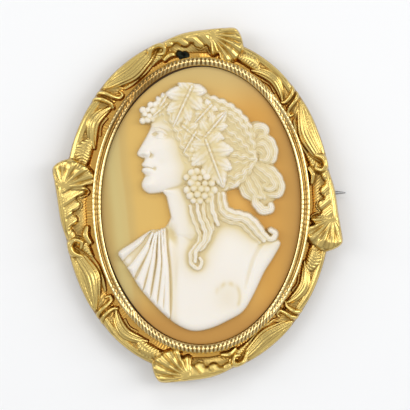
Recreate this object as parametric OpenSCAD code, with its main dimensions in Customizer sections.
// Oval cameo brooch: a carved shell bust in a milled collet, inside a gilt border of leaves and branches.
// It lies on its back: +Z out of the front, +Y up the bust, +X to the right, z = 0 where it rests.

/* [Setting] */
// Width of the collet's opening, where the shell shows
opening_w = 32; // [28:0.5:36]
// Length of the collet's opening
opening_l = 44.6; // [40:0.5:50]
// Width of the collet's milled band
collet_w = 1.45; // [1.2:0.05:2]
// Thickness of the lip that holds the shell down
lip_t = 1.1; // [0.9:0.05:1.5]
// Thickness of the collet's ledge under the shell
ledge_t = 0.6; // [0.4:0.05:0.8]
// Width of the collet's smooth inner rim
rim_in = 0.4; // [0.25:0.05:0.5]
// Width of the collet's smooth outer rim
rim_out = 0.3; // [0.2:0.05:0.4]
// Depth of the milled band between the collet's two rims
mill_depth = 0.22; // [0.1:0.02:0.3]
// How much the collet's outer edge is rounded off
edge_taper = 0.14; // [0.05:0.01:0.2]
// How far the shell's edge reaches in under the lip
shell_grip = 0.5; // [0.3:0.05:0.7]
// How far the collet sits to the right of the border's middle
setting_shift = 0.55; // [0:0.05:0.6]

/* [Border] */
// Width of the channel at the sides of the collet
channel_side = 1.35; // [1:0.05:2]
// Width of the channel at the top and bottom of the collet
channel_end = 0.65; // [0.5:0.05:1.2]
// Height of the channel's floor above the border's back
channel_h = 1.05; // [0.8:0.05:1.4]
// Width of the band of branches
branch_w = 2.7; // [2.2:0.1:3.4]
// Height of the border's rim above its back
rim_h = 2.2; // [1.9:0.1:2.8]
// Radius of a branch's stem
stem_r = 0.68; // [0.5:0.02:0.85]
// Number of big leaves round the border
leaf_count = 4; // [3:1:5]
// How far a big leaf's tip stands out of the oval
leaf_reach = 2.2; // [1.4:0.1:2.6]
// Height of a big leaf's crest above the rim
leaf_h = 1.5; // [1:0.1:2]
// Thickness of the leaves
leaf_t = 0.7; // [0.5:0.05:0.9]
// Height of the ribs on the leaves
rib_h = 0.14; // [0.05:0.01:0.25]
// Width of the tarnished hole in the channel
hole_w = 1.9; // [1:0.1:2.4]
// Length of the tarnished hole, across the channel
hole_l = 1.3; // [0.8:0.1:1.8]
// Turn of the tarnished hole from the top, clockwise
hole_turn = 353.6; // [345:0.2:358]

/* [Cameo] */
// Thickness of the shell at its edge
shell_t = 1.3; // [1:0.05:1.5]
// Rise of the ground from its edge to its middle
dome_h = 0.45; // [0.2:0.05:0.8]
// Height of the carving above the ground
relief_h = 2.2; // [1.4:0.1:2.8]
// Height of the carved head from crown to chin
head_h = 17.4; // [15:0.2:18]
// How far the head is tilted back
head_tilt = 7; // [-3:1:10]
// How far the ear lies to the left of the shell's middle, in percent of its half width
ear_left = 0; // [-6:1:6]
// How far the chin lies above the shell's middle, in percent of its half length
chin_y = 6; // [2:1:9]
// How far the bunch of grapes hangs to the left of the middle, in percent of the half width
bunch_left = 4; // [-2:1:10]
// How far the bunch of grapes starts above the middle, in percent of the half length
bunch_y = 22; // [16:1:28]
// Radius of a grape
grape_r = 0.72; // [0.5:0.02:0.8]

/* [Pin] */
// Diameter of the pin's wire
pin_d = 0.8; // [0.7:0.05:1]
// How far the pin runs above the border's middle
pin_y = 2; // [0:0.1:4]
// How far the pin's tip stands out past the border's oval
pin_reach = 2.35; // [1.5:0.05:3]
// Width of the pin's point
point_d = 0.16; // [0.1:0.02:0.3]
// Length of the pin's tapered tip
tip_l = 2.4; // [1.6:0.1:3]
// Diameter of the pin's barrel
barrel_d = 1.2; // [1.15:0.05:1.4]
// Length of the pin's barrel
barrel_l = 2.4; // [1.6:0.1:3.2]
// Diameter of the axle through the barrel
axle_d = 0.5; // [0.4:0.02:0.56]
// Thickness of each hinge lug
lug_t = 0.6; // [0.4:0.05:0.9]
// Width of the catch along the pin
catch_w = 1.8; // [1.2:0.1:2.4]
// Thickness of the catch's strip
catch_t = 0.35; // [0.3:0.05:0.5]

/* [Clearances] */
// Gap between pieces that touch on the real brooch
seat_gap = 0.05; // [0.03:0.01:0.1]
// Gap round the pin's barrel and under the border's back
pin_gap = 0.1; // [0.06:0.01:0.12]

/* [Hidden] */
rings = 84;
open_a = opening_w / 2;
open_b = opening_l / 2;
border_a = open_a + collet_w + channel_side + branch_w;
border_b = open_b + collet_w + channel_end + branch_w;
pin_z = catch_t + seat_gap + pin_d / 2;
back_z = pin_z + max(barrel_d, pin_d) / 2 + pin_gap;
channel_z = back_z + channel_h;
rim_z = back_z + rim_h;
shoulder_w = collet_w * 0.15;
shell_under = back_z + ledge_t + seat_gap;
shell_edge_z = shell_under + shell_t;
face_z = shell_edge_z + dome_h;
carve_z = shell_edge_z - 0.2;
run_out = 0.1;
collet_top = shell_edge_z + seat_gap + lip_t;
hinge_x = -(border_a - branch_w);
catch_x = border_a - branch_w;
lap = 0.3;
root = 0.4;
overhang = 0.3;

// The point of an oval at a turn clockwise from the top, with the oval widened all round by out
function oval_at(a, b, out, turn) = [(a + out) * sin(turn), (b + out) * cos(turn)];
function oval_outline(a, b, out) = [for (i = [0:rings - 1]) oval_at(a, b, out, -360 * i / rings)];

// The border's run is measured clockwise from the top along the middle of its branches
function on_branches(i) = oval_at(border_a, border_b, -branch_w / 2, 360 * i / rings);
RUNS = [
    for (i = 0, run = 0; i <= rings; run = run + norm(on_branches(i + 1) - on_branches(i)), i = i + 1)
        [run, 360 * i / rings]
];
run_all = RUNS[rings][0];
function turn_at(run) = lookup((run % run_all + run_all) % run_all, RUNS);

// A place on the border: which repeat, percent along it, distance out of the oval, height
function place(k, along, out, up) =
    let (flat = oval_at(border_a, border_b, out, turn_at((k + along / 100) * run_all / leaf_count)))
    [flat.x, flat.y, up];

// A closed skin over rings of points, all with the same number of points
module skin(sections, round_trip = false) {
    n = len(sections);
    m = len(sections[0]);
    sides = [
        for (i = [0:n - (round_trip ? 1 : 2)])
            for (j = [0:m - 1])
                let (here = i * m, there = (i + 1) % n * m, next = (j + 1) % m)
                each [[here + j, there + j, there + next], [here + j, there + next, here + next]]
    ];
    caps = round_trip ? [] : [[for (j = [0:m - 1]) j], [for (j = [m - 1:-1:0]) (n - 1) * m + j]];
    polyhedron(points = [for (s = sections) each s], faces = concat(sides, caps), convexity = 8);
}

// A flattened bead, for knots, curls and fruit
module bead(at, r, flat = 1) {
    translate(at) scale([1, 1, flat]) sphere(r, $fn = 8);
}

// The cross-section of the border's body: share of the width from the collet out, share of the rim's height
BODY = [[0, 0], [0.94, 0], [1, 0.18], [1, 0.8], [0.9, 0.98], [0.76, 0.9], [0.5, 0.66], [0.22, 0.5], [0, 0.478]];

module border_body() {
    skin([
        for (i = [0:rings - 1])
            let (outer = oval_at(border_a, border_b, 0, 360 * i / rings))
            let (inner = oval_at(open_a, open_b, collet_w * 0.6, 360 * i / rings) + [setting_shift, 0])
            [for (p = BODY)
                let (flat = inner + (outer - inner) * p[0])
                [flat.x, flat.y, back_z + (p[1] < 0.5 && p[1] > 0.2 ? channel_h : rim_h * p[1])]]
    ], round_trip = true);
}

// The stems: percent along the repeat, distance in as a share of the band, height and radius as shares
OUTER_STEM = [
    [17, 0.5, 0.9, 0.5], [24, 0.42, 1, 0.95], [34, 0.3, 1.04, 1.05], [43, 0.36, 1.02, 0.9], [50, 0.52, 1, 0.55],
    [58, 0.4, 1, 0.85], [68, 0.3, 1.04, 1.05], [78, 0.32, 1.04, 1], [86, 0.48, 1, 0.6]
];
INNER_STEM = [
    [20, 0.8, 0.7, 0.5], [28, 0.86, 0.82, 0.8], [38, 0.82, 0.86, 0.85], [48, 0.62, 0.92, 0.6],
    [56, 0.78, 0.84, 0.75], [66, 0.88, 0.8, 0.85], [76, 0.84, 0.84, 0.8], [84, 0.66, 0.9, 0.5]
];

module stem(k, table) {
    skin([
        for (row = table)
            [for (j = [6:-1:0])
                let (r = stem_r * row[3], turn = 216 - 42 * j, foot = j == 0 || j == 6)
                place(k, row[0], r * cos(turn) - row[1] * branch_w,
                      foot ? back_z + root : back_z + rim_h * row[2] + r * sin(turn))]
    ]);
}

// The big leaf: percent along, outer edge as a share of its reach, inner edge as a share of its way in, crest
BIG_LEAF = [
    [-14, 0, 0.1, 0.25], [-10.5, 0.12, 0.24, 0.5], [-6, 0.27, 0.44, 0.8], [0, 0.4, 0.47, 0.95],
    [6, 0.6, 0.76, 1], [10.5, 0.8, 1.04, 0.95], [14.7, 1, 1.02, 0.7], [18.2, 0.42, 0.8, 0.4], [20, -0.4, 0.5, 0.1]
];
// The pointed leaf on the way to the next big leaf, and the small one behind the knot
POINTED_LEAF = [
    [55.5, -0.4, 0.5, 0.1], [60.4, -0.17, 0.7, 0.29], [66.5, -0.1, 0.78, 0.43], [72.5, -0.12, 0.66, 0.4],
    [79, -0.3, 0.4, 0.2]
];
SMALL_LEAF = [
    [37.5, -0.4, 0.5, 0.1], [41.7, -0.1, 0.66, 0.3], [46.4, 0.04, 0.62, 0.42], [52, -0.3, 0.42, 0.1]
];
COLUMNS = 8;
fan_in = branch_w + channel_end * 0.8;
leaf_sink = 0.25;

module leaf(k, table) {
    skin([
        for (row = table)
            let (outer = row[1] * leaf_reach, inner = -row[2] * fan_in)
            let (top = [for (j = [0:COLUMNS])
                let (share = j / COLUMNS)
                let (arch = (sin(20 + 140 * share) - 0.3) / 0.7)
                place(k, row[0], outer + (inner - outer) * share,
                      rim_z - leaf_sink + leaf_h * row[3] * arch + rib_h * (j % 2))])
            concat(top, [for (j = [COLUMNS:-2:0])
                outer + (inner - outer) * j / COLUMNS > -overhang
                    ? top[j] - [0, 0, leaf_t]
                    : [top[j].x, top[j].y, back_z + root]])
    ]);
}

// The knots: percent along, distance in as a share of the band, height share, radius share, then the curl's end
KNOTS = [
    [-16.5, 0.3, 1.15, 1.15, -14, 0.42, 1.25],
    [-18, 0.62, 1, 0.9, -15, 0.6, 1.15],
    [51, 0.62, 1.12, 1.1, 48, 0.84, 1.1],
    [53, 0.3, 1.08, 0.95, 49, 0.2, 1.12],
    [22, 0.3, 1.08, 1, 28, 0.42, 1.02]
];

module knot(k, row) {
    hull() {
        bead(place(k, row[0], -row[1] * branch_w, back_z + rim_h * row[2]), stem_r * row[3]);
        bead(place(k, row[4], -row[5] * branch_w, back_z + rim_h * row[6]), stem_r * row[3] * 0.6);
        bead(place(k, row[0], -row[1] * branch_w, back_z + channel_h), stem_r * row[3] * 0.9);
    }
}

// The hinge's lugs and axle, soldered to the border's back
module hinge() {
    side = barrel_l / 2 + pin_gap;
    for (way = [-1, 1])
        translate([hinge_x, pin_y + way * (side + lug_t / 2), 0])
            rotate([90, 0, 0])
                linear_extrude(lug_t, center = true)
                    hull() {
                        translate([0, pin_z]) circle(d = barrel_d, $fn = 20);
                        translate([0, back_z + lap / 2]) square([barrel_d * 1.4, lap], center = true);
                    }
    translate([hinge_x, pin_y, pin_z])
        rotate([90, 0, 0])
            cylinder(d = axle_d, h = 2 * side + lug_t, center = true, $fn = 20);
}

// The open catch that the pin hooks into, soldered to the border's back
module catch() {
    inner = pin_d / 2 + seat_gap;
    hook_lip = inner / 2;
    translate([catch_x, pin_y, pin_z])
        rotate([90, 0, 90])
            linear_extrude(catch_w, center = true)
                difference() {
                    union() {
                        circle(inner + catch_t, $fn = 32);
                        translate([-inner - catch_t, 0]) square([inner + catch_t, back_z - pin_z + lap]);
                    }
                    circle(inner, $fn = 32);
                    translate([0, -hook_lip]) square([inner + catch_t + lap, hook_lip + back_z - pin_z]);
                }
}

// The ragged hole through the channel's floor
HOLE = [[-0.3, -0.2, 0.36], [0.28, 0.1, 0.34], [-0.05, 0.25, 0.3]];

module tarnished_hole() {
    middle = oval_at(open_a, open_b, collet_w + hole_l * 0.42, hole_turn) + [setting_shift, 0];
    translate([middle.x, middle.y, back_z - lap])
        rotate(-hole_turn)
            for (lobe = HOLE)
                translate([lobe[0] * hole_w, lobe[1] * hole_l])
                    scale([1, hole_l / hole_w])
                        cylinder(d = hole_w * lobe[2] * 1.6, h = rim_h * 0.92 + lap, $fn = 9);
}

module border() {
    color("goldenrod")
        difference() {
            union() {
                border_body();
                for (k = [0:leaf_count - 1]) {
                    stem(k, OUTER_STEM);
                    stem(k, INNER_STEM);
                    leaf(k, BIG_LEAF);
                    leaf(k, POINTED_LEAF);
                    leaf(k, SMALL_LEAF);
                    for (row = KNOTS) knot(k, row);
                }
                hinge();
                catch();
            }
            tarnished_hole();
            translate([setting_shift, 0, -1])
                linear_extrude(back_z + rim_h * 4)
                    polygon(oval_outline(open_a, open_b, collet_w - shoulder_w + seat_gap));
            translate([setting_shift, 0, channel_z + seat_gap / 2])
                linear_extrude(rim_h * 4)
                    polygon(oval_outline(open_a, open_b, collet_w + seat_gap));
        }
}

// An upright oval block round the opening, from one height to another, its top drawn in by taper
module oval_block(out, low, high, taper = 0) {
    foot = open_a + out;
    translate([setting_shift, 0, low])
        scale([open_a + out, open_b + out, 1])
            cylinder(r1 = 1, r2 = 1 - taper / foot, h = high - low, $fn = 120);
}

module collet() {
    color("gold")
        difference() {
            union() {
                oval_block(collet_w - shoulder_w, back_z, channel_z + seat_gap * 2);
                oval_block(collet_w, channel_z + seat_gap, collet_top - edge_taper);
                oval_block(collet_w, collet_top - edge_taper, collet_top, edge_taper);
            }
            difference() {
                oval_block(collet_w - rim_out, collet_top - mill_depth, collet_top + 1);
                oval_block(rim_in, collet_top - mill_depth - 1, collet_top + 2);
            }
            oval_block(0, shell_edge_z, collet_top + 1);
            oval_block(shell_grip + seat_gap, shell_under - seat_gap, shell_edge_z + seat_gap);
            oval_block(-shell_grip * 0.8, back_z - 1, shell_under);
        }
}

// The shell's ground: share of the way out and share of the dome, from its edge to the middle
SHELL_DOME = [[0.95, 0.3], [0.85, 0.58], [0.6, 0.85], [0.3, 0.97]];

// A relief point: percent of the opening's half width and half length from its middle
function on_shell(x, y) = [setting_shift + x / 100 * open_a, y / 100 * open_b];

module ground() {
    edge = shell_grip;
    function ring(share, z, turn = 0) = [
        for (i = [0:2:rings - 1])
            let (p = oval_at(open_a, open_b, edge, -360 * (i + turn) / rings) * share)
            [p.x + setting_shift, p.y, z]
    ];
    skin(concat(
        [ring(0.3, shell_under), ring(1, shell_under), ring(1, shell_edge_z - 0.1), ring(0.972, shell_edge_z)],
        [for (i = [0:len(SHELL_DOME) - 1])
            ring(SHELL_DOME[i][0], shell_edge_z + dome_h * SHELL_DOME[i][1], i + 1)]
    ));
}

// A form with upright sides and a domed top, from an outline in percent of the opening
module domed(outline, middle, reach, rise) {
    at = on_shell(middle.x, middle.y);
    intersection() {
        translate([0, 0, carve_z])
            linear_extrude(relief_h * 3)
                polygon([for (p = outline) on_shell(p[0], p[1])]);
        translate([at.x, at.y, face_z - relief_h * dome_sink])
            scale([reach.x / 100 * open_a, reach.y / 100 * open_b, relief_h * (rise + dome_sink)])
                sphere(1, $fn = 22);
    }
}

// A carved ridge along a smooth line: x and y in percent, width in percent, height as a share of the relief.
// Its two ends run down into the ground.
function mix4(p, t) =
    0.5 * ((2 * p[1]) + (p[2] - p[0]) * t + (2 * p[0] - 5 * p[1] + 4 * p[2] - p[3]) * t * t
    + (3 * p[1] - p[0] - 3 * p[2] + p[3]) * t * t * t);
function smooth(rows, steps) =
    let (n = len(rows) - 1)
    [for (i = [0:n - 1])
        for (t = [0:1 / steps:0.999])
            mix4([rows[max(i - 1, 0)], rows[i], rows[i + 1], rows[min(i + 2, n)]], t), rows[n]];
RIDGE = [[-1, 0], [-0.72, 0.62], [0, 1], [0.72, 0.62], [1, 0]];

module ridge(rows, steps = 2) {
    line = smooth(rows, steps);
    n = len(line) - 1;
    skin([
        for (i = [0:n])
            let (here = on_shell(line[i][0], line[i][1]))
            let (back = on_shell(line[max(i - 1, 0)][0], line[max(i - 1, 0)][1]))
            let (ahead = on_shell(line[min(i + 1, n)][0], line[min(i + 1, n)][1]))
            let (way = (ahead - back) / norm(ahead - back))
            let (across = [way.y, -way.x] * line[i][2] / 100 * open_a)
            let (ends = i == 0 || i == n)
            [for (p = RIDGE)
                let (flat = here + across * p[0])
                [flat.x, flat.y, carve_z + p[1] * (ends ? run_out : face_z - carve_z + relief_h * line[i][3])]]
    ]);
}

// Shoulders and chest, with the neck
BUST = [
    [-33, -14], [-50, -19], [-68, -27], [-82, -34], [-78, -40], [-62, -59], [-48, -71], [-34, -80], [-21, -87],
    [-8, -90.5], [9, -89], [27, -83], [42, -76], [53, -63], [63, -48], [73, -37], [79, -28], [70, -22],
    [58, -18], [44, -12], [30, -7], [22, 0], [20, 12], [-8, 14], [-31, 2], [-29, -8]
];
NECK = [[-30, 4], [-6, 20], [22, 16], [22, -2], [30, -14], [2, -34], [-22, -30], [-27, -10]];
// The pleats fan out from the collar: top x and y, foot x and y, half width at the foot
PLEATS = [
    [-44, -16, -76, -39, 6.5], [-41, -15, -66, -51.5, 6], [-39, -14.5, -56, -62, 6], [-37, -14.2, -47, -69, 5.5],
    [-35, -14.7, -39, -74, 5], [-32, -15.3, -31, -78, 4.5], [-29, -18, -24, -81, 4]
];

// The head is built on plain drawing-book proportions: forward of the ear and above the chin, as shares
// of its height
HEAD = [
    [0.42, 0.9], [0.475, 0.78], [0.49, 0.64], [0.486, 0.55], [0.535, 0.44], [0.572, 0.335], [0.5, 0.295],
    [0.522, 0.245], [0.5, 0.205], [0.512, 0.165], [0.478, 0.125], [0.495, 0.06], [0.45, 0.0], [0.34, 0.0],
    [0.15, 0.06], [-0.05, 0.1], [-0.33, 0.27], [-0.45, 0.52], [-0.39, 0.73], [-0.23, 0.86], [-0.02, 0.93],
    [0.12, 1], [0.29, 0.98]
];
// Brow, eyelids, cheek, nose wing, lips and jaw: forward, up, half width and how proud, as shares
FEATURES = [
    [[0.47, 0.6, 0.01, 0], [0.39, 0.635, 0.02, 0.07], [0.27, 0.6, 0.015, 0]],
    [[0.44, 0.55, 0.01, 0.02], [0.37, 0.575, 0.016, 0.06], [0.29, 0.53, 0.01, 0.01]],
    [[0.43, 0.53, 0.008, 0.02], [0.37, 0.505, 0.012, 0.05], [0.31, 0.525, 0.008, 0.01]],
    [[0.36, 0.4, 0.04, 0], [0.26, 0.36, 0.08, 0.04], [0.18, 0.3, 0.04, 0]],
    [[0.53, 0.33, 0.01, 0.05], [0.485, 0.35, 0.025, 0.08], [0.46, 0.32, 0.01, 0.02]],
    [[0.53, 0.24, 0.012, 0.06], [0.46, 0.24, 0.022, 0.07], [0.38, 0.215, 0.008, 0]],
    [[0.515, 0.185, 0.012, 0.06], [0.46, 0.19, 0.024, 0.07], [0.39, 0.21, 0.008, 0]],
    [[0.02, 0.34, 0.01, 0], [0.06, 0.18, 0.03, 0.05], [0.2, 0.075, 0.03, 0.06], [0.36, 0.03, 0.02, 0.05]]
];
// The head's dome: its middle forward and up, its reach, its rise and how far its middle lies below the ground
skull_mid = [0.12, 0.45];
skull_reach = 0.66;
head_rise = 0.78;
dome_sink = 0.35;

// Height of the head's dome at a place on it, as a share of the relief
function skull(forward, up) =
    let (off = ([forward, up] - skull_mid) / skull_reach)
    (head_rise + dome_sink) * sqrt(max(0, 1 - off * off)) - dome_sink;

module head() {
    wide = 100 / open_a * head_h;
    tall = 100 / open_b * head_h;
    function on_head(forward, up) =
        let (off = [forward, up] - skull_mid)
        let (ahead = skull_mid.x + off.x * cos(head_tilt) - off.y * sin(head_tilt))
        let (above = skull_mid.y + off.x * sin(head_tilt) + off.y * cos(head_tilt))
        [-ear_left - ahead * wide, chin_y + above * tall];
    domed([for (p = HEAD) on_head(p[0], p[1])], on_head(skull_mid.x, skull_mid.y),
          [skull_reach * wide, skull_reach * tall], head_rise);
    for (feature = FEATURES)
        ridge([for (row = feature)
            concat(on_head(row[0], row[1]), [row[2] * wide, skull(row[0], row[1]) + row[3]])]);
}

// Locks of hair: x, y, half width, height share along each lock
LOCKS = [
    [[8, 76, 4, 0.5], [22, 72, 6, 0.85], [38, 64, 6, 0.85], [50, 52, 4, 0.6]],
    [[8, 66, 4, 0.7], [24, 63, 6, 1], [40, 55, 6, 0.95], [54, 44, 4, 0.7]],
    [[12, 56, 4, 0.8], [28, 54, 6, 1], [44, 46, 6, 0.95], [56, 34, 4, 0.7]],
    [[20, 46, 4, 0.8], [34, 44, 6, 0.95], [46, 38, 6, 0.9], [56, 26, 4, 0.7]],
    [[28, 34, 4, 0.7], [40.5, 34.3, 6, 0.85], [50, 28, 6, 0.85], [58, 18, 4, 0.6]],
    [[46, 54, 3, 0.5], [58, 57, 5, 0.7], [68, 50, 5, 0.7], [72, 40, 4, 0.6], [68, 32, 3, 0.5]],
    [[52, 40, 4, 0.6], [62, 40, 6, 0.8], [70, 30, 6, 0.7], [74, 32, 3, 0.4]],
    [[54, 28, 4, 0.6], [66, 24, 6, 0.8], [78, 16, 6, 0.7], [80, 6, 4, 0.5], [72, 4, 3, 0.4]],
    [[50, 22, 4, 0.6], [60, 14, 6, 0.75], [66, 6, 5, 0.6], [60, -2, 4, 0.4]],
    [[44, 18, 3, 0.5], [50.6, 7.6, 4, 0.6], [58, 0.6, 3.6, 0.5], [67, -2.5, 3, 0.35]],
    [[20, 30, 4, 0.7], [22, 12, 6, 0.8], [21, 0, 5, 0.7], [30, -7, 5, 0.65], [46, -9, 5, 0.6],
        [57, -16.6, 4.7, 0.55], [64.6, -23.4, 4.2, 0.5], [73, -20.6, 3.2, 0.4]],
    [[6, 6, 4, 0.6], [2, -8, 6, 0.8], [6, -20, 6, 0.75], [2, -32, 5, 0.6], [-5, -40, 4, 0.5], [0, -44, 3, 0.4]],
    [[-5, 10, 3, 0.6], [-3, -4, 5, 0.7], [2, -16, 5, 0.7], [0, -26, 3, 0.5]],
    [[-34, 54, 3, 0.5], [-22, 46, 4, 0.8], [-14, 34, 4, 0.8], [-12, 20, 3, 0.7]],
    [[-40, 58, 3, 0.4], [-26, 55, 5, 0.8], [-12, 48, 5, 0.9], [0, 36, 4, 0.8]]
];

// Vine leaves: x and y of the stalk end, turn of the tip, length in percent, height share
VINE = [[-26, 74, 150, 30, 0.95], [-10, 82, 250, 34, 1.1], [6, 50, 300, 40, 1.15], [-40, 70, 200, 20, 0.7]];

module vine_leaf(row) {
    at = on_shell(row[0], row[1]);
    size = row[3] / 100 * open_a;
    translate([at.x, at.y, carve_z])
        rotate(row[2])
            linear_extrude(face_z - carve_z + relief_h * row[4], scale = 0.72)
                polygon([for (i = [0:19])
                    let (turn = 18 * i)
                    let (reach = 0.4 + 0.12 * cos(5 * turn) + 0.12 * cos(turn))
                    size * (reach * [cos(turn), sin(turn)] + [0.4, 0])]);
}

// Grapes: how many in each row of the bunch, from its top down
BUNCH = [3, 4, 4, 3, 3, 2, 1];
module grapes() {
    for (i = [0:len(BUNCH) - 1])
        for (j = [0:BUNCH[i] - 1]) {
            at = on_shell(-bunch_left, bunch_y);
            bead([at.x + (j - (BUNCH[i] - 1) / 2) * grape_r * 1.75, at.y - i * grape_r * 1.45,
                  face_z + relief_h * 0.72 - 0.25 * abs(j - (BUNCH[i] - 1) / 2) * grape_r], grape_r);
        }
}

// Berries at the front of the wreath
BERRIES = [[-55.8, 68.4], [-49, 72], [-56, 62], [-50, 65], [-44, 68], [-43, 62]];

module cameo() {
    color("navajowhite")
        union() {
            ground();
            domed(BUST, [0, -50], [115, 62], 0.62);
            domed(NECK, [-2, -4], [34, 42], 0.75);
            head();
            for (row = PLEATS)
                ridge([[row[0], row[1], 1.6, 0.4], [row[2], row[3], row[4], 0.66]], 5);
            for (lock = LOCKS) ridge(lock, 2);
            for (row = VINE) vine_leaf(row);
            grapes();
            for (p = BERRIES)
                let (at = on_shell(p[0], p[1]))
                hull() {
                    bead([at.x, at.y, face_z + relief_h * 0.3], grape_r * 0.95);
                    bead([at.x, at.y, face_z], grape_r * 0.95);
                }
            let (at = on_shell(32, 52))
            hull() {
                bead([at.x, at.y, face_z], open_a * 0.24, 0.35);
                bead([at.x - open_a * 0.25, at.y + open_a * 0.15, face_z], open_a * 0.28, 0.4);
            }
            let (at = on_shell(62, 22))
            hull() {
                bead([at.x, at.y, face_z], open_a * 0.13, 0.35);
                bead([at.x + open_a * 0.02, at.y + open_a * 0.3, face_z], open_a * 0.11, 0.4);
            }
        }
}

module pin() {
    tip_x = border_a + pin_reach;
    bore = axle_d + 2 * pin_gap;
    color("gray")
        difference() {
            union() {
                translate([hinge_x, pin_y, pin_z])
                    rotate([90, 0, 0])
                        cylinder(d = barrel_d, h = barrel_l, center = true, $fn = 48);
                translate([hinge_x, pin_y, pin_z])
                    rotate([0, 90, 0])
                        cylinder(d = pin_d, h = tip_x - tip_l - hinge_x, $fn = 48);
                translate([tip_x - tip_l, pin_y, pin_z])
                    rotate([0, 90, 0])
                        cylinder(d1 = pin_d, d2 = point_d, h = tip_l, $fn = 48);
            }
            translate([hinge_x, pin_y, pin_z])
                rotate([90, 0, 0])
                    cylinder(d = bore, h = barrel_l * 2, center = true, $fn = 48);
        }
}

border();
collet();
cameo();
pin();
